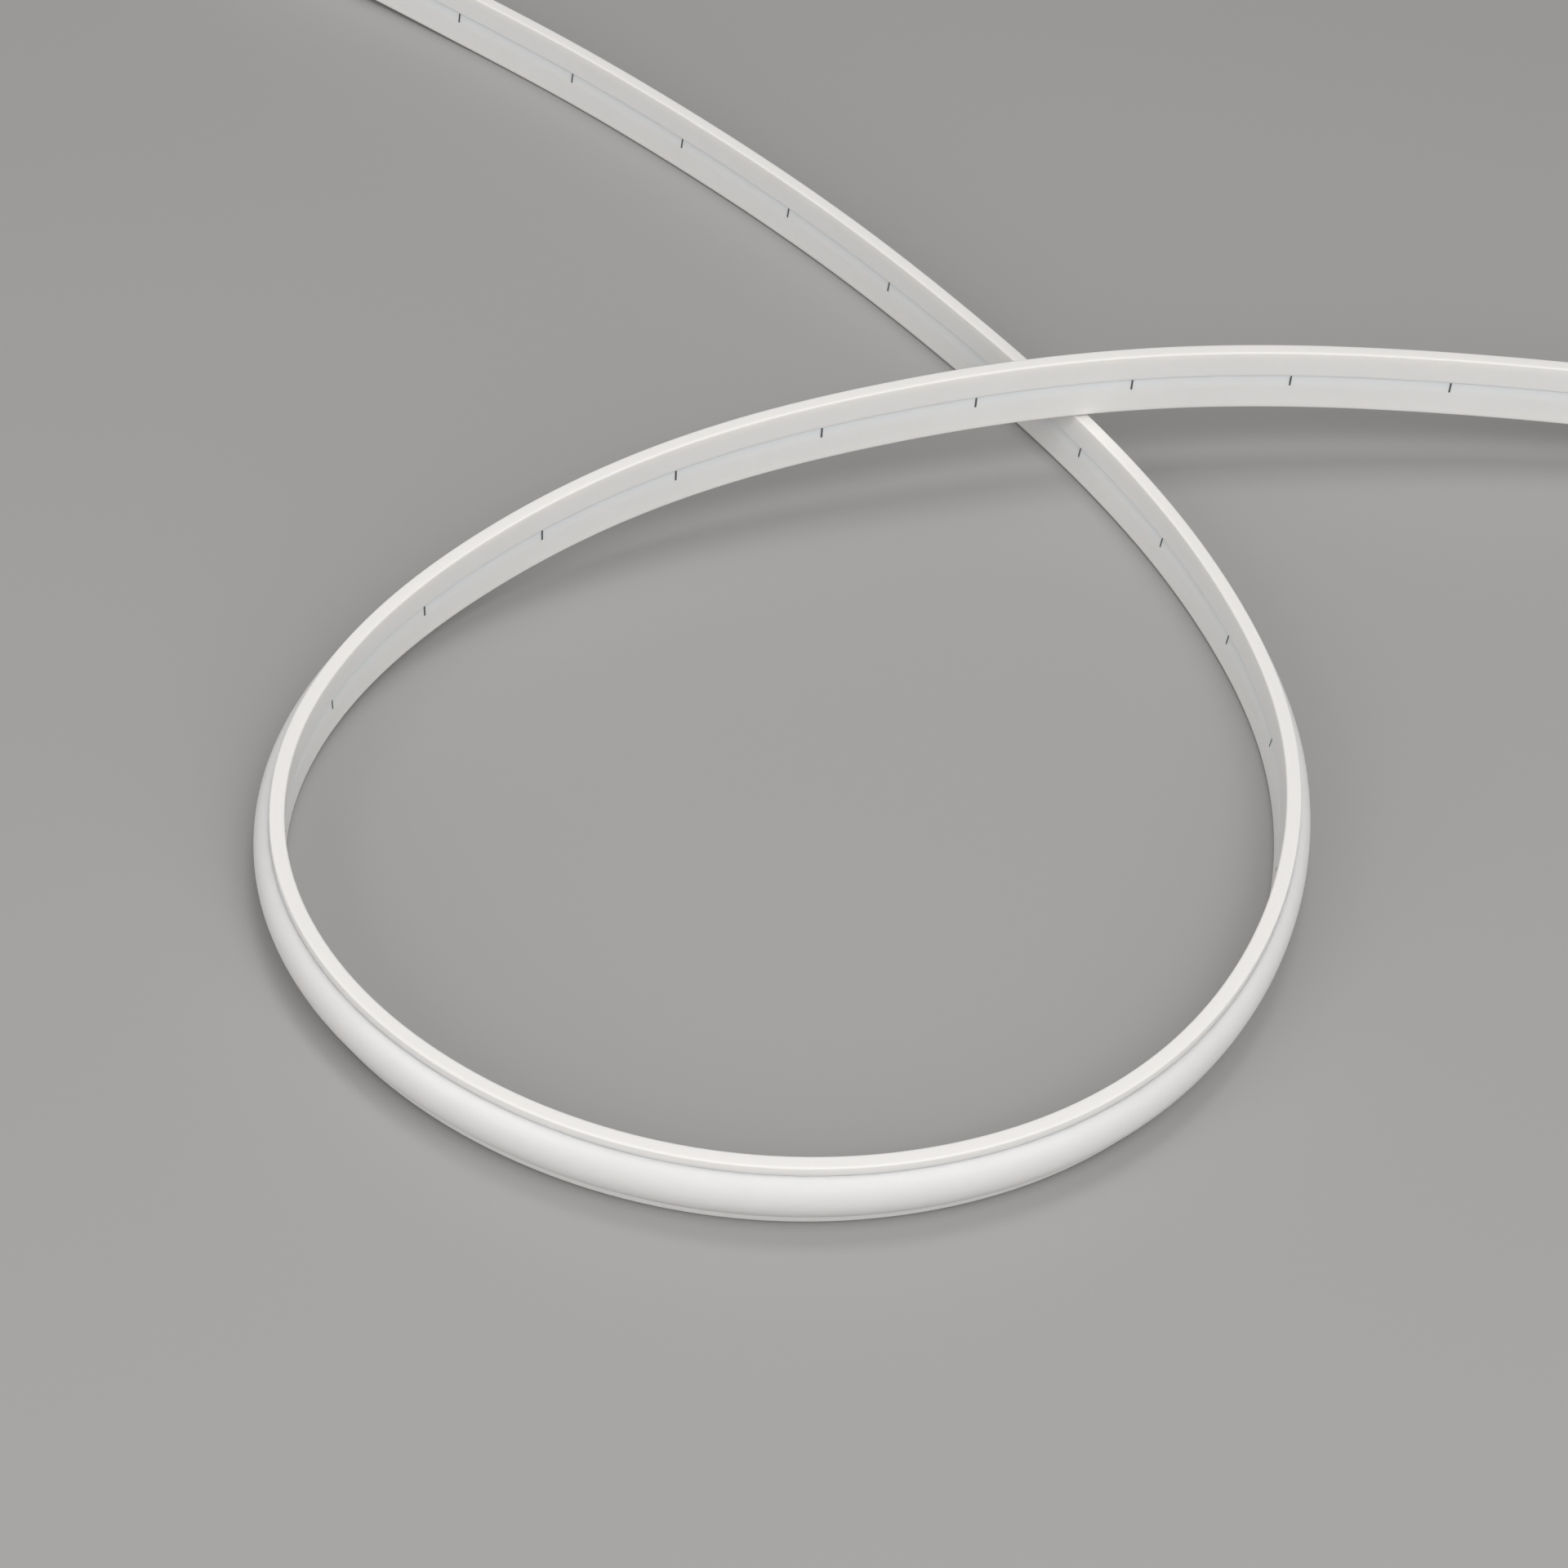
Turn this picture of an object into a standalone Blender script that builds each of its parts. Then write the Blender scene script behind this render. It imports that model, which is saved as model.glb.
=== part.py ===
"""Silicone neon flex, a length of domed light strip laid on its edge in one open loop.

Metres, +Z up, the floor at z = 0. The strip comes in from the back left, runs round the
loop clockwise as seen from above, climbs over itself and comes down to the right. Its back
faces the inside of the loop and its milky dome faces out.
"""
import math

import bmesh
import bpy
import numpy as np

# Section of the strip, as it is extruded
STRIP_WIDTH = 0.0158        # across the flat back, which is its height as it stands
WALL_DEPTH = 0.0031         # from the back to the tips of the side walls
DOME_RISE = 0.0031          # how far the dome stands out past the wall tips
WALL_THICKNESS = 0.0021     # side walls, whose tips show as a shoulder beside the dome
BACK_THICKNESS = 0.0010     # floor of the channel, which the board lies on
CORNER_RADIUS = 0.0003
GROOVE_WIDTH = 0.0029       # shallow locating groove along the middle of the back
GROOVE_DEPTH = 0.00025      # at the step along its upper side; it fades out to the lower
GROOVE_SLOPE = 0.0001       # how far the step leans
LEG_THICKNESS = 0.0011      # the dome's feet inside the side walls
DOME_THICKNESS = 0.0018     # the dome's wall at its crown
ARCH_SPRING = 0.0011        # how far out from the floor the arch leaves its feet
SEAT_GAP = 0.0003           # between pieces that touch
MERGE_DISTANCE = 0.00001

# Circuit board and the parts soldered to it
BOARD_CLEARANCE = 0.0005    # each side, between the board and the dome's feet
BOARD_THICKNESS = 0.0003
LED_LENGTH = 0.0028         # along the strip
LED_WIDTH = 0.0035
LED_HEIGHT = 0.0007
LEDS_PER_UNIT = 6
RESISTOR_LENGTH = 0.0012
RESISTOR_HEIGHT = 0.0005

# Length of the strip, cut at its marks
CUTTING_UNIT = 0.0357
UNITS = 31
STATIONS_PER_UNIT = 3

# Sockets glued over the cut ends
CAP_WALL = 0.0011
CAP_GRIP = 0.0090           # how far a cap reaches back over the strip
CAP_END = 0.0016            # thickness of its closed end

# Route of the strip's middle over the floor: x, y and its rise, as a share of the lift
# that lets the strip pass over itself
HELD_UP_COUNT = 2           # points that the first cap, thicker than the strip, lifts
ROUTE = [
    (-0.1877, 0.1981, 0.00),
    (-0.1567, 0.1831, 0.00),
    (-0.1262, 0.1661, 0.00),
    (-0.0967, 0.1481, 0.00),
    (-0.0687, 0.1281, 0.00),
    (-0.0412, 0.1066, 0.00),
    (-0.0152, 0.0836, 0.00),
    (0.0093, 0.0586, 0.00),
    (0.0323, 0.0331, 0.00),
    (0.0538, 0.0046, 0.00),
    (0.0703, -0.0249, 0.00),
    (0.0828, -0.0584, 0.00),
    (0.0853, -0.0929, 0.00),
    (0.0788, -0.1274, 0.00),
    (0.0628, -0.1594, 0.00),
    (0.0378, -0.1834, 0.00),
    (0.0053, -0.1979, 0.00),
    (-0.0297, -0.2013, 0.00),
    (-0.0643, -0.1932, 0.00),
    (-0.0957, -0.1733, 0.00),
    (-0.1168, -0.1427, 0.00),
    (-0.1217, -0.1053, 0.00),
    (-0.1107, -0.0701, 0.05),
    (-0.0906, -0.0433, 0.28),
    (-0.0660, -0.0215, 0.57),
    (-0.0382, -0.0038, 0.79),
    (-0.0072, 0.0108, 0.95),
    (0.0247, 0.0243, 1.02),
    (0.0585, 0.0355, 1.01),
    (0.0937, 0.0441, 0.91),
    (0.1307, 0.0504, 0.77),
    (0.1674, 0.0551, 0.61),
    (0.2051, 0.0571, 0.46),
]
SAMPLES_PER_SPAN = 24

# Facets round the section
CORNER_STEPS = 2
DOME_STEPS = 8
ARCH_STEPS = 5
SHARP_ANGLE = 30            # degrees, past which an edge is left crisp

# Depths are measured outward from the channel's floor, where the board lies: the board
# can't stretch, so the strip bends about it. Heights are measured from mid-width.
POCKET_FLOOR = 0.0
BACK = POCKET_FLOOR - BACK_THICKNESS
TIP = BACK + WALL_DEPTH
HALF_WIDTH = STRIP_WIDTH / 2
POCKET_HALF = HALF_WIDTH - WALL_THICKNESS
DOME_HALF = POCKET_HALF - SEAT_GAP
FEET_HALF = DOME_HALF - LEG_THICKNESS
BOARD_HALF = FEET_HALF - BOARD_CLEARANCE
DOME_RADIUS = (DOME_HALF ** 2 + DOME_RISE ** 2) / (2 * DOME_RISE)
DOME_CENTRE = TIP + DOME_RISE - DOME_RADIUS
CAP_GROWTH = SEAT_GAP + CAP_WALL
STRIP_LENGTH = UNITS * CUTTING_UNIT


def clear_scene():
    for obj in list(bpy.data.objects):
        bpy.data.objects.remove(obj, do_unlink=True)


def new_collection(name):
    collection = bpy.data.collections.new(name)
    bpy.context.scene.collection.children.link(collection)
    return collection


def plastic(name, colour, roughness):
    """An opaque silicone or moulded finish."""
    material = bpy.data.materials.new(name)
    material.use_nodes = True
    shader = material.node_tree.nodes["Principled BSDF"]
    shader.inputs["Base Color"].default_value = (*colour, 1.0)
    shader.inputs["Roughness"].default_value = roughness
    shader.inputs["Metallic"].default_value = 0.0
    material.diffuse_color = (*colour, 1.0)
    return material


def smooth_route():
    """Points close together on a uniform cubic B-spline through the route, and their
    distance along it. The spline never leaves the band its points lie in, so where they
    are on the floor the strip is too."""
    lift = STRIP_WIDTH + SEAT_GAP
    points = np.array([(x, y, rise * lift + HALF_WIDTH) for x, y, rise in ROUTE])
    points[:HELD_UP_COUNT, 2] += CAP_GROWTH + SEAT_GAP
    before = 2 * points[0] - points[1]
    after = 2 * points[-1] - points[-2]
    knots = np.vstack([before, points, after])
    curve = []
    for i in range(len(knots) - 3):
        p0, p1, p2, p3 = knots[i:i + 4]
        for t in np.arange(SAMPLES_PER_SPAN) / SAMPLES_PER_SPAN:
            curve.append(((1 - t) ** 3 * p0
                          + (3 * t ** 3 - 6 * t ** 2 + 4) * p1
                          + (-3 * t ** 3 + 3 * t ** 2 + 3 * t + 1) * p2
                          + t ** 3 * p3) / 6)
    curve.append(points[-1])
    curve = np.array(curve)
    steps = np.linalg.norm(np.diff(curve, axis=0), axis=1)
    return curve, np.concatenate([[0.0], np.cumsum(steps)])


def points_along(distances):
    """The route at these distances, straight on past its last point."""
    curve, travelled = smooth_route()
    direction = (curve[-1] - curve[-2]) / np.linalg.norm(curve[-1] - curve[-2])
    points = []
    for distance in distances:
        if distance > travelled[-1]:
            points.append(curve[-1] + direction * (distance - travelled[-1]))
        else:
            points.append([np.interp(distance, travelled, curve[:, axis]) for axis in range(3)])
    return np.array(points)


def arc(centre, radius, start, end, steps):
    """Points of an arc, both ends included, angles in degrees."""
    angles = [math.radians(start + (end - start) * i / steps) for i in range(steps + 1)]
    return [(centre[0] + radius * math.cos(a), centre[1] + radius * math.sin(a)) for a in angles]


def channel_outline():
    """Flat back with its groove, two side walls and the pocket between them, each point
    by its depth and its height."""
    r = CORNER_RADIUS
    low = -HALF_WIDTH
    outline = arc((BACK + r, low + r), r, 180, 270, CORNER_STEPS)
    outline += arc((TIP - r, low + r), r, 270, 360, CORNER_STEPS)
    outline += [
        (TIP, -POCKET_HALF),
        (POCKET_FLOOR, -POCKET_HALF),
        (POCKET_FLOOR, POCKET_HALF),
        (TIP, POCKET_HALF),
    ]
    outline += arc((TIP - r, -low - r), r, 0, 90, CORNER_STEPS)
    outline += arc((BACK + r, -low - r), r, 90, 180, CORNER_STEPS)
    groove = GROOVE_WIDTH / 2
    outline += [
        (BACK, groove),
        (BACK + GROOVE_DEPTH, groove - GROOVE_SLOPE),
        (BACK, -groove),
    ]
    return outline


def diffuser_outline():
    """An arch whose two feet stand on the pocket's floor against the side walls."""
    foot = POCKET_FLOOR + SEAT_GAP
    spread = math.degrees(math.asin(DOME_HALF / DOME_RADIUS))
    outline = [(foot, -DOME_HALF)]
    outline += arc((DOME_CENTRE, 0), DOME_RADIUS, -spread, spread, DOME_STEPS)
    outline.append((foot, DOME_HALF))
    crown = TIP + DOME_RISE - DOME_THICKNESS
    inner_rise = crown - ARCH_SPRING
    inner_radius = (FEET_HALF ** 2 + inner_rise ** 2) / (2 * inner_rise)
    inner_centre = crown - inner_radius
    inner_spread = math.degrees(math.asin(FEET_HALF / inner_radius))
    outline.append((foot, FEET_HALF))
    outline += arc((inner_centre, 0), inner_radius, inner_spread, -inner_spread, ARCH_STEPS)
    outline.append((foot, -FEET_HALF))
    return outline


def board_outline():
    """A thin strip whose front has a middle lane as wide as the LEDs."""
    under = POCKET_FLOOR + SEAT_GAP
    front = under + BOARD_THICKNESS
    lane = LED_WIDTH / 2
    return [
        (under, -BOARD_HALF),
        (front, -BOARD_HALF),
        (front, -lane),
        (front, lane),
        (front, BOARD_HALF),
        (under, BOARD_HALF),
    ]


def whole_outline(grow):
    """The outside of channel and dome together, moved outward by grow."""
    low = -HALF_WIDTH - grow
    back = BACK - grow
    tip = TIP + grow
    r = CORNER_RADIUS + grow
    radius = DOME_RADIUS + grow
    spread = math.degrees(math.acos((tip - DOME_CENTRE) / radius))
    outline = arc((back + r, low + r), r, 180, 270, CORNER_STEPS)
    outline += arc((tip - r, low + r), r, 270, 360, CORNER_STEPS)
    outline += arc((DOME_CENTRE, 0), radius, -spread, spread, DOME_STEPS)
    outline += arc((tip - r, -low - r), r, 0, 90, CORNER_STEPS)
    outline += arc((back + r, -low - r), r, 90, 180, CORNER_STEPS)
    return outline


def sweep(name, outline, stations, collection):
    """Carry an outline upright along the stations and close both ends, as one mesh. Its
    depth is laid off to the left of the way the stations run, outside the loop."""
    profile_data = bpy.data.curves.new(name + "_profile", "CURVE")
    profile_data.dimensions = "2D"
    ring = profile_data.splines.new("POLY")
    ring.points.add(len(outline) - 1)
    for point, (depth, height) in zip(ring.points, outline):
        point.co = (-depth, height, 0.0, 1.0)
    ring.use_cyclic_u = True
    profile = bpy.data.objects.new(name + "_profile", profile_data)
    collection.objects.link(profile)

    path_data = bpy.data.curves.new(name + "_path", "CURVE")
    path_data.dimensions = "3D"
    path_data.twist_mode = "Z_UP"
    path_data.bevel_mode = "OBJECT"
    path_data.bevel_object = profile
    path_data.use_fill_caps = True
    line = path_data.splines.new("POLY")
    line.points.add(len(stations) - 1)
    for point, place in zip(line.points, stations):
        point.co = (*place, 1.0)
    path = bpy.data.objects.new(name + "_path", path_data)
    collection.objects.link(path)

    bpy.context.view_layer.update()
    evaluated = path.evaluated_get(bpy.context.evaluated_depsgraph_get())
    mesh = bpy.data.meshes.new_from_object(evaluated)
    mesh.name = name
    bm = bmesh.new()
    bm.from_mesh(mesh)
    bmesh.ops.remove_doubles(bm, verts=bm.verts, dist=MERGE_DISTANCE)
    bmesh.ops.recalc_face_normals(bm, faces=bm.faces)
    bm.to_mesh(mesh)
    bm.free()
    mesh.shade_smooth()
    mesh.set_sharp_from_angle(angle=math.radians(SHARP_ANGLE))
    solid = bpy.data.objects.new(name, mesh)
    solid.matrix_world = path.matrix_world
    collection.objects.link(solid)
    bpy.data.objects.remove(path, do_unlink=True)
    bpy.data.objects.remove(profile, do_unlink=True)
    return solid


def strip_stations():
    count = UNITS * STATIONS_PER_UNIT
    return points_along([STRIP_LENGTH * i / count for i in range(count + 1)])


def make_channel(collection, material):
    channel = sweep("channel", channel_outline(), strip_stations(), collection)
    channel.data.materials.append(material)
    return channel


def make_diffuser(collection, material):
    diffuser = sweep("diffuser", diffuser_outline(), strip_stations(), collection)
    diffuser.data.materials.append(material)
    return diffuser


def soldered_parts():
    """Middle, length and height of each LED and resistor, as they follow one another."""
    pitch = CUTTING_UNIT / LEDS_PER_UNIT
    parts = []
    for unit in range(UNITS):
        start = unit * CUTTING_UNIT
        for led in range(LEDS_PER_UNIT):
            parts.append((start + (led + 0.5) * pitch, LED_LENGTH, LED_HEIGHT))
        parts.append((start + LEDS_PER_UNIT // 2 * pitch, RESISTOR_LENGTH, RESISTOR_HEIGHT))
    return sorted(parts)


def make_circuit_board(collection, material):
    """The board, with the faces of its middle lane drawn up where a part is soldered."""
    parts = soldered_parts()
    edges = [0.0]
    for middle, length, _ in parts:
        edges += [middle - length / 2, middle + length / 2]
    edges.append(STRIP_LENGTH)
    board = sweep("circuit_board", board_outline(), points_along(edges), collection)

    front = POCKET_FLOOR + SEAT_GAP + BOARD_THICKNESS
    middles = points_along([middle for middle, _, _ in parts])
    bm = bmesh.new()
    bm.from_mesh(board.data)
    lane = [f for f in bm.faces if abs(f.normal.z) < 0.5 and is_lane(f)]
    raised = {}
    for face in lane:
        centre = np.array(face.calc_center_median())
        nearest = int(np.argmin(np.linalg.norm(middles - centre, axis=1)))
        away = centre - middles[nearest]
        outward = np.array(face.normal)
        along = away - outward * away.dot(outward)
        if np.linalg.norm(along) < LED_LENGTH / 4 and away.dot(outward) > front - SEAT_GAP:
            raised.setdefault(parts[nearest][2], []).append(face)
    for height, faces in raised.items():
        grown = bmesh.ops.extrude_discrete_faces(bm, faces=faces)["faces"]
        for face in grown:
            bmesh.ops.translate(bm, verts=face.verts, vec=face.normal * height)
    bm.to_mesh(board.data)
    bm.free()
    board.data.materials.append(material)
    return board


def is_lane(face):
    """Whether a face of the board is as high as the LEDs are wide."""
    heights = [v.co.z for v in face.verts]
    return abs(max(heights) - min(heights) - LED_WIDTH) < LED_WIDTH / 4


def make_cap(name, end, inward, at_start, collection, cutters, material):
    """A socket over one cut end, moulded to the strip's outline with a closed end wall."""
    outward = (end - inward) / np.linalg.norm(end - inward)
    mouth = end - outward * CAP_GRIP
    bottom = end + outward * SEAT_GAP
    outside = [mouth, bottom + outward * CAP_END]
    socket = [mouth - outward * CAP_END, bottom]
    if at_start:
        outside.reverse()
        socket.reverse()
    cap = sweep(name, whole_outline(CAP_GROWTH), outside, collection)
    cutter = sweep(name + "_socket", whole_outline(SEAT_GAP), socket, cutters)
    cutter.hide_render = True
    cutter.display_type = "WIRE"
    cut = cap.modifiers.new("socket", "BOOLEAN")
    cut.operation = "DIFFERENCE"
    cut.object = cutter
    cap.data.materials.append(material)
    return cap


def build():
    clear_scene()
    strip = new_collection("neon_flex_strip")
    cutters = new_collection("cutters")
    white = plastic("white_silicone", (0.82, 0.81, 0.79), 0.5)
    milky = plastic("milky_silicone", (0.86, 0.86, 0.85), 0.4)
    solder_mask = plastic("white_board", (0.85, 0.85, 0.80), 0.45)
    make_channel(strip, white)
    make_diffuser(strip, milky)
    make_circuit_board(strip, solder_mask)
    stations = strip_stations()
    make_cap("start_cap", stations[0], stations[1], True, strip, cutters, milky)
    make_cap("end_cap", stations[-1], stations[-2], False, strip, cutters, milky)


build()
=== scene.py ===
"""Looks of the silicone neon flex strip, laid on its edge in one loop, in the CAD's frame."""

import math

import bpy
import numpy as np
from mathutils import Matrix, Vector


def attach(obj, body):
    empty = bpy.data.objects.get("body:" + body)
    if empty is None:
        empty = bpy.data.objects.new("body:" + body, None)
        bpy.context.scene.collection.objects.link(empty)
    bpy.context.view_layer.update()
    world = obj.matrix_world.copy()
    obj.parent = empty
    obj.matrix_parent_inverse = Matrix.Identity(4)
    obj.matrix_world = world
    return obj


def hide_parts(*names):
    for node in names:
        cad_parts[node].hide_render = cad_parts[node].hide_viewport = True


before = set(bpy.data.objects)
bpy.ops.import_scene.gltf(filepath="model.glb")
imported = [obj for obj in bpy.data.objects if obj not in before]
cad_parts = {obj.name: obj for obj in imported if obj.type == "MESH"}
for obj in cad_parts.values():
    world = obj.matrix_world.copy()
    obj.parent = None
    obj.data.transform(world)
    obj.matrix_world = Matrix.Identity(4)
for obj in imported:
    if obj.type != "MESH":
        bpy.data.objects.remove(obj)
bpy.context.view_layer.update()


# Camera
# It looks down on the loop from the front through a long lens, a little rolled.
CAMERA_PLACE = (-0.0197, -0.6769, 0.5875)
CAMERA_DIP = math.radians(44.79)
CAMERA_ROLL = math.radians(7.01)
CAMERA_LENS = 91.95
SENSOR_WIDTH = 36.0
camera_data = bpy.data.cameras.new("camera")
camera_data.sensor_width = SENSOR_WIDTH
camera_data.lens = CAMERA_LENS
camera = bpy.data.objects.new("camera", camera_data)
bpy.context.scene.collection.objects.link(camera)
camera.matrix_world = (
    Matrix.Translation(CAMERA_PLACE)
    @ Matrix.Rotation(math.pi / 2 - CAMERA_DIP, 4, "X")
    @ Matrix.Rotation(CAMERA_ROLL, 4, "Z")
)
bpy.context.scene.camera = camera


# Channel
# The strip's body, an opaque white silicone extrusion: a flat back with a shallow groove
# and two side walls. It is stiff across its width, so it is laid standing on one edge and
# carries everything else. It runs along the same route as the CAD's.
STRIP_WIDTH = 0.0158
WALL_DEPTH = 0.0031
WALL_THICKNESS = 0.0021
BACK_THICKNESS = 0.0010
CORNER_RADIUS = 0.0004
CORNER_FLAT = 0.00015
CORNER_STEPS = 5
GROOVE_WIDTH = 0.0029
GROOVE_DEPTH = 0.00025
GROOVE_SLOPE = 0.0001
SEAT_GAP = 0.0003
CAP_WALL = 0.0011
CUTTING_UNIT = 0.0357
UNITS = 31
STEPS_PER_UNIT = 12
SAMPLES_PER_SPAN = 24
WELD_DISTANCE = 0.000005
SMOOTH_ANGLE = math.radians(32)
VERTICES_AT_ONCE = 4000
HALF_WIDTH = STRIP_WIDTH / 2
BACK = -BACK_THICKNESS
TIP = BACK + WALL_DEPTH
# Each point has its place in the plan, and its rise as a share of one strip's height.
ROUTE = [
    (-0.1877, 0.1981, 0.00),
    (-0.1567, 0.1831, 0.00),
    (-0.1262, 0.1661, 0.00),
    (-0.0967, 0.1481, 0.00),
    (-0.0687, 0.1281, 0.00),
    (-0.0412, 0.1066, 0.00),
    (-0.0152, 0.0836, 0.00),
    (0.0093, 0.0586, 0.00),
    (0.0323, 0.0331, 0.00),
    (0.0538, 0.0046, 0.00),
    (0.0703, -0.0249, 0.00),
    (0.0828, -0.0584, 0.00),
    (0.0853, -0.0929, 0.00),
    (0.0788, -0.1274, 0.00),
    (0.0628, -0.1594, 0.00),
    (0.0378, -0.1834, 0.00),
    (0.0053, -0.1979, 0.00),
    (-0.0297, -0.2013, 0.00),
    (-0.0643, -0.1932, 0.00),
    (-0.0957, -0.1733, 0.00),
    (-0.1168, -0.1427, 0.00),
    (-0.1217, -0.1053, 0.00),
    (-0.1107, -0.0701, 0.05),
    (-0.0906, -0.0433, 0.28),
    (-0.0660, -0.0215, 0.57),
    (-0.0382, -0.0038, 0.79),
    (-0.0072, 0.0108, 0.95),
    (0.0247, 0.0243, 1.02),
    (0.0585, 0.0355, 1.01),
    (0.0937, 0.0441, 0.91),
    (0.1307, 0.0504, 0.77),
    (0.1674, 0.0551, 0.61),
    (0.2051, 0.0571, 0.46),
]


def along_route(distances):
    """Points of the strip's middle at these distances from its start. The start is raised,
    because the cap around it is thicker than the strip."""
    storey = STRIP_WIDTH + SEAT_GAP
    points = np.array([(x, y, rise * storey + HALF_WIDTH) for x, y, rise in ROUTE])
    points[:2, 2] += CAP_WALL + 2 * SEAT_GAP
    knots = np.vstack([2 * points[0] - points[1], points, 2 * points[-1] - points[-2]])
    curve = []
    for i in range(len(knots) - 3):
        for t in np.arange(SAMPLES_PER_SPAN) / SAMPLES_PER_SPAN:
            weights = [
                (1 - t) ** 3,
                3 * t ** 3 - 6 * t ** 2 + 4,
                -3 * t ** 3 + 3 * t ** 2 + 3 * t + 1,
                t ** 3,
            ]
            curve.append(np.dot(weights, knots[i:i + 4]) / 6)
    curve = np.array(curve + [points[-1]])
    steps = np.linalg.norm(np.diff(curve, axis=0), axis=1)
    travelled = np.concatenate([[0.0], np.cumsum(steps)])
    onward = (curve[-1] - curve[-2]) / np.linalg.norm(curve[-1] - curve[-2])
    found = [np.interp(distances, travelled, curve[:, axis]) for axis in range(3)]
    beyond = np.clip(np.asarray(distances) - travelled[-1], 0, None)
    return np.stack(found, axis=1) + beyond[:, None] * onward


def corner(centre, radius, start, end, steps):
    """Points of an arc in the section, by depth and height, angles in degrees."""
    angles = np.radians(np.linspace(start, end, steps + 1))
    return [(centre[0] + radius * math.cos(a), centre[1] + radius * math.sin(a)) for a in angles]


def arc_way(angle):
    """The way in which an arc runs at this angle."""
    return -math.sin(math.radians(angle)), math.cos(math.radians(angle))


def rounded(depth, height, start):
    """A rounded corner of the channel about this point, with a point on each flat beside it
    that keeps the shading of the flats even."""
    arc = corner((depth, height), CORNER_RADIUS, start, start + 90, CORNER_STEPS)
    before, after = arc_way(start), arc_way(start + 90)
    first = (arc[0][0] - CORNER_FLAT * before[0], arc[0][1] - CORNER_FLAT * before[1])
    last = (arc[-1][0] + CORNER_FLAT * after[0], arc[-1][1] + CORNER_FLAT * after[1])
    return [first] + arc + [last]


def extrude_along(name, outline, stations):
    """Carries an outline upright along the stations, with its depth to their left, and
    closes both ends."""
    bpy.ops.object.select_all(action="DESELECT")
    profile_data = bpy.data.curves.new(name + "_profile", "CURVE")
    profile_data.dimensions = "2D"
    ring = profile_data.splines.new("POLY")
    ring.points.add(len(outline) - 1)
    for point, (depth, height) in zip(ring.points, outline):
        point.co = (-depth, height, 0.0, 1.0)
    ring.use_cyclic_u = True
    profile = bpy.data.objects.new(name + "_profile", profile_data)
    bpy.context.scene.collection.objects.link(profile)
    path_data = bpy.data.curves.new(name, "CURVE")
    path_data.dimensions = "3D"
    path_data.twist_mode = "Z_UP"
    path_data.bevel_mode = "OBJECT"
    path_data.bevel_object = profile
    path_data.use_fill_caps = True
    line = path_data.splines.new("POLY")
    line.points.add(len(stations) - 1)
    for point, place in zip(line.points, stations):
        point.co = (*place, 1.0)
    piece = bpy.data.objects.new(name, path_data)
    bpy.context.scene.collection.objects.link(piece)
    piece.select_set(True)
    bpy.context.view_layer.objects.active = piece
    bpy.ops.object.convert(target="MESH")
    bpy.data.objects.remove(profile, do_unlink=True)
    bpy.ops.object.mode_set(mode="EDIT")
    bpy.ops.mesh.select_all(action="SELECT")
    bpy.ops.mesh.remove_doubles(threshold=WELD_DISTANCE)
    bpy.ops.mesh.normals_make_consistent(inside=False)
    bpy.ops.object.mode_set(mode="OBJECT")
    bpy.ops.object.shade_smooth_by_angle(angle=SMOOTH_ANGLE)
    return piece


def mark_section(piece, stations, distances):
    """Writes each vertex's distance along the strip and its height on the section, for the
    materials."""
    places = np.array([v.co for v in piece.data.vertices])
    own = np.empty(len(places), dtype=int)
    for start in range(0, len(places), VERTICES_AT_ONCE):
        block = places[start:start + VERTICES_AT_ONCE]
        gaps = np.linalg.norm(block[:, None, :] - stations[None, :, :], axis=2)
        own[start:start + VERTICES_AT_ONCE] = gaps.argmin(axis=1)
    for name, values in (("along", distances[own]), ("height", places[:, 2] - stations[own, 2])):
        attribute = piece.data.attributes.new(name, "FLOAT", "POINT")
        attribute.data.foreach_set("value", values.astype(np.float32))


distances = np.linspace(0, UNITS * CUTTING_UNIT, UNITS * STEPS_PER_UNIT + 1)
stations = along_route(distances)

r = CORNER_RADIUS
pocket = HALF_WIDTH - WALL_THICKNESS
groove = GROOVE_WIDTH / 2
channel_outline = (
    rounded(BACK + r, -HALF_WIDTH + r, 180)
    + rounded(TIP - r, -HALF_WIDTH + r, 270)
    + [(TIP, -pocket), (0.0, -pocket), (0.0, pocket), (TIP, pocket)]
    + rounded(TIP - r, HALF_WIDTH - r, 0)
    + rounded(BACK + r, HALF_WIDTH - r, 90)
    # The groove is deepest at its upper side and runs out towards its lower side.
    + [
        (BACK, groove),
        (BACK + GROOVE_DEPTH, groove - GROOVE_SLOPE),
        (BACK + 0.2 * GROOVE_DEPTH, -0.6 * groove),
        (BACK, -groove),
        (BACK, -1.5 * groove),
    ]
)
channel = extrude_along("strip_channel", channel_outline, stations)
mark_section(channel, stations, distances)


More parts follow.
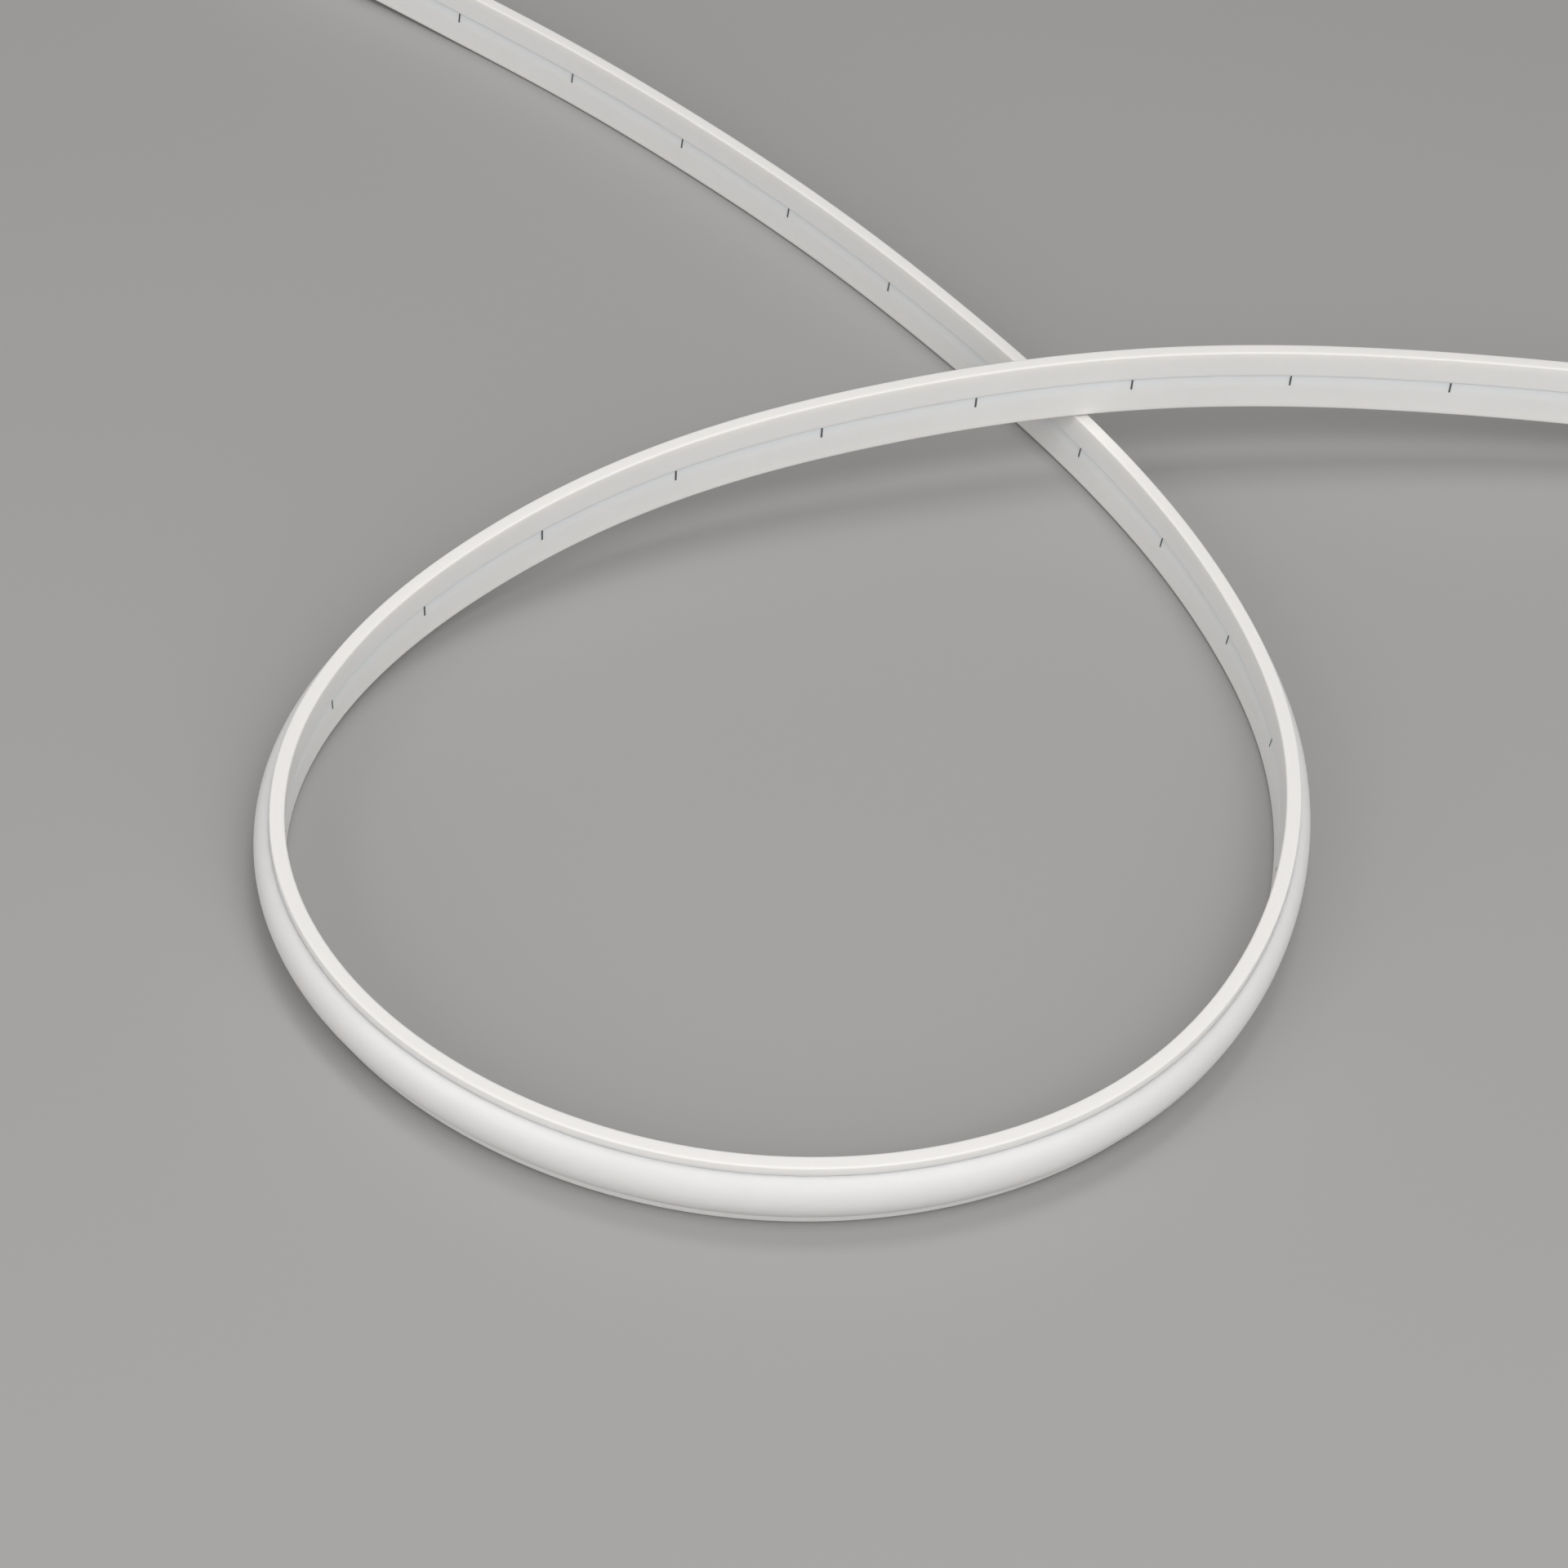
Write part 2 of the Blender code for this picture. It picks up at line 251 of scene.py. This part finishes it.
class Wire:
    """A socket in a material's nodes, on which sums and products add Math nodes."""

    def __init__(self, tree, socket=None):
        self.tree = tree
        self.socket = socket

    def node(self, kind, settings=(), values=(), output=0):
        """Adds a node, gives it its settings and then its values or links."""
        made = self.tree.nodes.new("ShaderNode" + kind)
        for key, value in dict(settings).items():
            setattr(made, key, value)
        for key, value in dict(values).items():
            if isinstance(value, Wire):
                self.tree.links.new(value.socket, made.inputs[key])
            else:
                made.inputs[key].default_value = value
        return Wire(self.tree, made.outputs[output])

    def calculate(self, operation, first, second):
        return self.node("Math", {"operation": operation}, {0: first, 1: second})

    def __add__(self, other):
        return self.calculate("ADD", self, other)

    def __radd__(self, other):
        return self.calculate("ADD", other, self)

    def __rsub__(self, other):
        return self.calculate("SUBTRACT", other, self)

    def __mul__(self, other):
        return self.calculate("MULTIPLY", self, other)

    def __rmul__(self, other):
        return self.calculate("MULTIPLY", other, self)

    def between(self, low, high):
        """0 up to low, 1 from high, and smooth between them."""
        return self.node(
            "MapRange",
            {"interpolation_type": "SMOOTHSTEP"},
            {"Value": self, "From Min": low, "From Max": high},
        )

    def noise(self, vector, scale, detail=2.0):
        return self.node("TexNoise", {}, {"Vector": vector, "Scale": scale, "Detail": detail})

    def object_place(self):
        """Where the surface is in its object's own coordinates."""
        return self.node("TexCoord", output="Object")

    def read(self, name):
        """A value that the mesh carries."""
        return self.node("Attribute", {"attribute_name": name}, output="Fac")

    def blend(self, share, first, second):
        """Two colours mixed by share."""
        return self.node(
            "Mix",
            {"data_type": "RGBA"},
            {"Factor": share, "A": first, "B": second},
            output=2,
        )

    def bump(self, strength, distance, height):
        return self.node(
            "Bump", {}, {"Strength": strength, "Distance": distance, "Height": height}
        )


def finish_of(name, roughness, ior, subsurface, radius, scale):
    """A new material with its shader's constant values set, and its nodes to add to."""
    material = bpy.data.materials.new(name)
    material.use_nodes = True
    shader = material.node_tree.nodes["Principled BSDF"]
    shader.inputs["Roughness"].default_value = roughness
    shader.inputs["IOR"].default_value = ior
    shader.inputs["Subsurface Weight"].default_value = subsurface
    shader.inputs["Subsurface Radius"].default_value = radius
    shader.inputs["Subsurface Scale"].default_value = scale
    return material, shader, Wire(material.node_tree)


def link(wire, socket):
    wire.tree.links.new(wire.socket, socket)


LINES_ACROSS = 1000.0
LINES_ALONG = 6.0


def die_lines(start, fineness):
    """Faint lines that the die leaves along the extrusion, close together across it and
    long drawn out along it."""
    across = start.read("height") * LINES_ACROSS
    along = start.read("along") * LINES_ALONG
    place = start.node("CombineXYZ", {}, {"X": across, "Y": along, "Z": 0.0})
    return start.noise(place, fineness, 3.0)


WHITE_DULL = (0.868, 0.848, 0.822, 1.0)
WHITE_BRIGHT = (0.905, 0.886, 0.862, 1.0)
# Painted shade in the groove: a cooler, slightly darker colour, strongest just under the groove's
# upper edge and fading out below it.
GROOVE_PAINTED_SHADE = (0.800, 0.825, 0.830, 1.0)
GROOVE_PAINTED_SHADE_SHARE = 0.7
GROOVE_PAINTED_SHADE_LOW = -0.0030
GROOVE_PAINTED_SHADE_FULL = 0.0010
GROOVE_PAINTED_SHADE_EDGE = 0.0002
# Painted shade on the edge faces: the top and bottom faces of the strip are painted duller, so that
# the lamps leave them less bright.
EDGE_PAINTED_SHADE = (0.820, 0.801, 0.780, 1.0)
EDGE_PAINTED_SHADE_LOW = 0.0072
EDGE_PAINTED_SHADE_FULL = 0.0076
white_silicone, shader, start = finish_of(
    "white_silicone", roughness=0.46, ior=1.41, subsurface=0.6, radius=(1.0, 0.9, 0.8), scale=0.0015
)
cloudy = start.noise(start.object_place(), 60.0)
lines = die_lines(start, 2.2)
height = start.read("height")
# The share of the groove's painted shade: none above its upper edge, full just under it, fading out
# downward over the groove and a little past its lower edge.
above_groove = height.between(groove - GROOVE_PAINTED_SHADE_EDGE, groove)
groove_painted_shade = height.between(GROOVE_PAINTED_SHADE_LOW, GROOVE_PAINTED_SHADE_FULL) * (1.0 - above_groove)
# The share of the edge faces' painted shade, full from 7.6 mm off the middle on either side.
edge_painted_shade = (height * height).between(EDGE_PAINTED_SHADE_LOW ** 2, EDGE_PAINTED_SHADE_FULL ** 2)
plain = start.blend(cloudy, WHITE_DULL, WHITE_BRIGHT)
with_groove_shade = start.blend(groove_painted_shade * GROOVE_PAINTED_SHADE_SHARE, plain, GROOVE_PAINTED_SHADE)
link(start.blend(edge_painted_shade, with_groove_shade, EDGE_PAINTED_SHADE), shader.inputs["Base Color"])
link(0.42 + 0.10 * lines, shader.inputs["Roughness"])
link(start.bump(0.35, 0.00002, lines + 0.5 * cloudy), shader.inputs["Normal"])
channel.data.materials.append(white_silicone)
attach(channel, "root")
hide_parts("channel")


# Diffuser
# The domed front, milky silicone that is extruded together with the channel and fused to
# its walls. It spreads the light of the LEDs, and its two feet stand on the channel's floor.
DOME_RISE = 0.0031
DOME_THICKNESS = 0.0018
DOME_STEPS = 28
FUSED = 0.00002
LEG_THICKNESS = 0.0011
ARCH_SPRING = 0.0011
ARCH_STEPS = 8
MILKY_DULL = (0.838, 0.812, 0.792, 1.0)
MILKY_BRIGHT = (0.872, 0.846, 0.827, 1.0)
dome_half = pocket + FUSED
dome_radius = (dome_half ** 2 + DOME_RISE ** 2) / (2 * DOME_RISE)
dome_centre = TIP + DOME_RISE - dome_radius
dome_spread = math.degrees(math.asin(dome_half / dome_radius))
crown = TIP + DOME_RISE - DOME_THICKNESS
feet = dome_half - LEG_THICKNESS
arch_radius = (feet ** 2 + (crown - ARCH_SPRING) ** 2) / (2 * (crown - ARCH_SPRING))
arch_spread = math.degrees(math.asin(feet / arch_radius))
diffuser_outline = (
    [(SEAT_GAP, -dome_half)]
    + corner((dome_centre, 0.0), dome_radius, -dome_spread, dome_spread, DOME_STEPS)
    + [(SEAT_GAP, dome_half), (SEAT_GAP, feet)]
    + corner((crown - arch_radius, 0.0), arch_radius, arch_spread, -arch_spread, ARCH_STEPS)
    + [(SEAT_GAP, -feet)]
)
diffuser = extrude_along("strip_diffuser", diffuser_outline, stations)
mark_section(diffuser, stations, distances)
milky_silicone, shader, start = finish_of(
    "milky_silicone", roughness=0.36, ior=1.41, subsurface=1.0, radius=(1.0, 0.95, 0.9), scale=0.003
)
cloudy = start.noise(start.object_place(), 45.0)
lines = die_lines(start, 1.6)
link(start.blend(cloudy, MILKY_DULL, MILKY_BRIGHT), shader.inputs["Base Color"])
link(0.34 + 0.08 * lines, shader.inputs["Roughness"])
link(start.bump(0.3, 0.00002, lines + 0.4 * cloudy), shader.inputs["Normal"])
diffuser.data.materials.append(milky_silicone)
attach(diffuser, "root")
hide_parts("diffuser")


# Cut marks
# Short dark lines printed across the groove, one at the end of each cutting unit, where the
# strip may be cut. They are meant to be 35.7 mm apart. These are their distances from the
# start as the photo shows them, with the ones out of its sight set evenly between.
MARK_DISTANCES = (
    [0.0364, 0.0726, 0.1092, 0.1458, 0.1818, 0.2170, 0.2545, 0.2873, 0.3209, 0.3539]
    + [0.3860, 0.4229, 0.4598, 0.4967, 0.5336, 0.5705, 0.6073, 0.6442, 0.6811, 0.7180]
    + [0.7549, 0.7880, 0.8208, 0.8545, 0.8894, 0.9258, 0.9627, 1.0002, 1.0381, 1.0750]
)
MARK_WIDTH = 0.00042
MARK_LENGTH = 0.0025
MARK_MIDDLE = -0.00015
INK_RELIEF = 0.00006
LOOK_AHEAD = 0.001
INK_DARK = (0.055, 0.056, 0.060, 1.0)
INK_WORN = (0.105, 0.106, 0.110, 1.0)
groove_lean = math.atan(GROOVE_DEPTH / GROOVE_WIDTH)
mark_depth = BACK + math.tan(groove_lean) * (MARK_MIDDLE + groove)
bpy.ops.object.select_all(action="DESELECT")
bpy.ops.mesh.primitive_cube_add(size=1.0)
cut_marks = bpy.context.active_object
cut_marks.name = "cut_marks"
bpy.ops.object.mode_set(mode="EDIT")
bpy.ops.transform.resize(value=(MARK_WIDTH, INK_RELIEF, MARK_LENGTH))
bpy.ops.object.mode_set(mode="OBJECT")
bar = cut_marks.data.copy()
marks = [cut_marks] + [cut_marks.copy() for _ in MARK_DISTANCES[1:]]
for mark, distance in zip(marks, MARK_DISTANCES):
    here, onward = along_route([distance, distance + LOOK_AHEAD])
    way = math.atan2(onward[1] - here[1], onward[0] - here[0])
    place = (
        Matrix.Translation(here)
        @ Matrix.Rotation(way, 4, "Z")
        @ Matrix.Translation((0.0, mark_depth, MARK_MIDDLE))
        @ Matrix.Rotation(-groove_lean, 4, "X")
    )
    if mark != cut_marks:
        mark.data = bar.copy()
        bpy.context.scene.collection.objects.link(mark)
    mark.data.transform(place)
    mark.select_set(True)
bpy.context.view_layer.objects.active = cut_marks
bpy.ops.object.join()
mark_ink, shader, start = finish_of(
    "mark_ink", roughness=0.55, ior=1.45, subsurface=0.0, radius=(1.0, 1.0, 1.0), scale=0.0
)
worn = start.noise(start.object_place(), 1800.0, 4.0)
link(start.blend(worn, INK_DARK, INK_WORN), shader.inputs["Base Color"])
cut_marks.data.materials.append(mark_ink)
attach(cut_marks, "root")


# Circuit board
# The flexible printed board with its LEDs and resistors, closed in by the dome. Its solid
# is the CAD's, in the white of its solder mask, a little yellowed by flux.
MASK_WHITE = (0.80, 0.80, 0.76, 1.0)
MASK_YELLOWED = (0.84, 0.83, 0.77, 1.0)
board = bpy.data.objects["circuit_board"]
white_board, shader, start = finish_of(
    "white_board", roughness=0.45, ior=1.5, subsurface=0.0, radius=(1.0, 1.0, 1.0), scale=0.0
)
flux = start.noise(start.object_place(), 220.0, 4.0)
link(start.blend(flux, MASK_WHITE, MASK_YELLOWED), shader.inputs["Base Color"])
link(0.38 + 0.2 * flux, shader.inputs["Roughness"])
board.data.materials.clear()
board.data.materials.append(white_board)


# End caps
# Moulded milky silicone sockets that are glued over the two cut ends, just outside the
# photo. The outer edges are rounded, and the strip sits in the socket by the length of
# the grip.
CAP_GRIP = 0.0090
CAP_END = 0.0016
CAP_EDGE = 0.0006
CAP_EDGE_STEPS = 5
CAP_EDGE_ANGLE = math.radians(60)
CAP_CORNER_STEPS = 6
CAP_DOME_STEPS = 24
CAP_DULL = (0.830, 0.826, 0.815, 1.0)
CAP_BRIGHT = (0.870, 0.867, 0.858, 1.0)
UNIT_THIRD = CUTTING_UNIT / 3


def cap_outline(grow):
    """The outside of channel and dome together, moved outward by grow."""
    low = -HALF_WIDTH - grow
    back = BACK - grow
    tip = TIP + grow
    around = CORNER_RADIUS + grow
    radius = dome_radius + grow
    spread = math.degrees(math.acos((tip - dome_centre) / radius))
    return (
        corner((back + around, low + around), around, 180, 270, CAP_CORNER_STEPS)
        + corner((tip - around, low + around), around, 270, 360, CAP_CORNER_STEPS)
        + corner((dome_centre, 0.0), radius, -spread, spread, CAP_DOME_STEPS)
        + corner((tip - around, -low - around), around, 0, 90, CAP_CORNER_STEPS)
        + corner((back + around, -low - around), around, 90, 180, CAP_CORNER_STEPS)
    )


cap_silicone, shader, start = finish_of(
    "cap_silicone", roughness=0.34, ior=1.41, subsurface=0.6, radius=(1.0, 0.95, 0.9), scale=0.002
)
cloudy = start.noise(start.object_place(), 160.0, 3.0)
link(start.blend(cloudy, CAP_DULL, CAP_BRIGHT), shader.inputs["Base Color"])
link(0.30 + 0.12 * cloudy, shader.inputs["Roughness"])
link(start.bump(0.4, 0.00004, cloudy), shader.inputs["Normal"])
strip_end = UNITS * CUTTING_UNIT
for name, node, end, inward in (
    ("start_socket", "start_cap", 0.0, UNIT_THIRD),
    ("end_socket", "end_cap", strip_end, strip_end - UNIT_THIRD),
):
    cut, inside = (Vector(place) for place in along_route([end, inward]))
    outward = (cut - inside).normalized()
    mouth = cut - outward * CAP_GRIP
    closed = cut + outward * (SEAT_GAP + CAP_END)
    hollow = [mouth - outward * CAP_END, cut + outward * SEAT_GAP]
    body = [mouth, closed]
    # Both run the strip's way, so that the dome stays on the same side.
    if end == 0.0:
        body.reverse()
        hollow.reverse()
    cap = extrude_along(name, cap_outline(CAP_WALL + SEAT_GAP), body)
    cutter = extrude_along(name + "_hollow", cap_outline(SEAT_GAP / 2), hollow)
    bpy.ops.object.select_all(action="DESELECT")
    cap.select_set(True)
    bpy.context.view_layer.objects.active = cap
    bpy.ops.object.modifier_add(type="BEVEL")
    edge = cap.modifiers["Bevel"]
    edge.width = CAP_EDGE
    edge.segments = CAP_EDGE_STEPS
    edge.limit_method = "ANGLE"
    edge.angle_limit = CAP_EDGE_ANGLE
    bpy.ops.object.modifier_apply(modifier="Bevel")
    bpy.ops.object.modifier_add(type="BOOLEAN")
    cut_out = cap.modifiers["Boolean"]
    cut_out.operation = "DIFFERENCE"
    cut_out.object = cutter
    bpy.ops.object.modifier_apply(modifier="Boolean")
    bpy.data.objects.remove(cutter, do_unlink=True)
    bpy.ops.object.shade_smooth_by_angle(angle=SMOOTH_ANGLE)
    cap.data.materials.clear()
    cap.data.materials.append(cap_silicone)
    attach(cap, "root")
    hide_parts(node)


# Floor and backdrop
# A plain matt surface just below the strip, which leaves a thin dark line along its foot as
# in the photo. The camera sees the pale tone that it has about the strip go on into the
# distance, past the reach of the softboxes.
FLOOR_SIZE = 12.0
FLOOR_DROP = 0.00025
FLOOR_COLOUR = (0.350, 0.343, 0.3395, 1.0)
FLOOR_ROUGHNESS = 0.7
DISTANT_TONE = (0.368, 0.362, 0.358, 1.0)
NEAR_FLOOR = 0.6
FAR_FLOOR = 1.5
bpy.ops.object.select_all(action="DESELECT")
bpy.ops.mesh.primitive_plane_add(size=FLOOR_SIZE, location=(0.0, 0.0, -FLOOR_DROP))
floor = bpy.context.active_object
floor.name = "floor"
floor_paint = bpy.data.materials.new("floor_paint")
floor_paint.use_nodes = True
nodes = floor_paint.node_tree.nodes
shader = nodes["Principled BSDF"]
shader.inputs["Roughness"].default_value = FLOOR_ROUGHNESS
shader.inputs["Base Color"].default_value = FLOOR_COLOUR
start = Wire(floor_paint.node_tree)
reach = start.node(
    "VectorMath", {"operation": "LENGTH"}, {0: start.object_place()}, output="Value"
)
camera_ray = start.node("LightPath", output="Is Camera Ray")
paint = Wire(floor_paint.node_tree, shader.outputs["BSDF"])
distant = start.node("Emission", {}, {"Color": DISTANT_TONE, "Strength": 1.0})
far_share = reach.between(NEAR_FLOOR, FAR_FLOOR) * camera_ray
surface = start.node("MixShader", {}, {0: far_share, 1: paint, 2: distant})
link(surface, nodes["Material Output"].inputs["Surface"])
floor.data.materials.append(floor_paint)


# Light
# A weak even surround and softboxes about the strip, as in a plain photo studio: the
# strongest high at the front right, two low across the front, one at the left and a
# smaller one overhead.
SOFTBOX_REACH = 1.7
SURROUND_STRENGTH = 0.18
SOFTBOXES = [
    # name, direction round the strip and height in degrees, side in metres, watts
    ("high_right", 300, 60, 1.1, 12.7),
    ("low_left", 225, 28, 1.1, 9.2),
    ("low_right", 315, 28, 1.1, 6.5),
    ("left", 180, 60, 1.1, 2.0),
    ("overhead", 100, 78, 0.5, 4.8),
]
for name, direction, elevation, side, watts in SOFTBOXES:
    softbox_data = bpy.data.lights.new(name, "AREA")
    softbox_data.shape = "SQUARE"
    softbox_data.size = side
    softbox_data.energy = watts
    softbox = bpy.data.objects.new(name, softbox_data)
    bpy.context.scene.collection.objects.link(softbox)
    turned = Matrix.Rotation(math.radians(direction), 3, "Z")
    raised = Matrix.Rotation(-math.radians(elevation), 3, "Y")
    softbox.location = turned @ raised @ Vector((SOFTBOX_REACH, 0.0, 0.0))
    softbox.rotation_euler = softbox.location.to_track_quat("Z", "Y").to_euler()
world = bpy.data.worlds.new("surround")
world.use_nodes = True
bpy.context.scene.world = world
start = Wire(world.node_tree)
glow = start.node(
    "Background", {}, {"Color": (1.0, 1.0, 1.0, 1.0), "Strength": SURROUND_STRENGTH}
)
seen = start.node("Background", {}, {"Color": DISTANT_TONE, "Strength": 1.0})
camera_ray = start.node("LightPath", output="Is Camera Ray")
glossy_ray = start.node("LightPath", output="Is Glossy Ray")
through_ray = start.node("LightPath", output="Is Transmission Ray")
mirrored = start.calculate("MAXIMUM", glossy_ray, through_ray)
shown = start.calculate("MAXIMUM", camera_ray, mirrored)
surround = start.node("MixShader", {}, {0: shown, 1: glow, 2: seen})
link(surround, world.node_tree.nodes["World Output"].inputs["Surface"])

bpy.context.scene.view_settings.view_transform = "Standard"
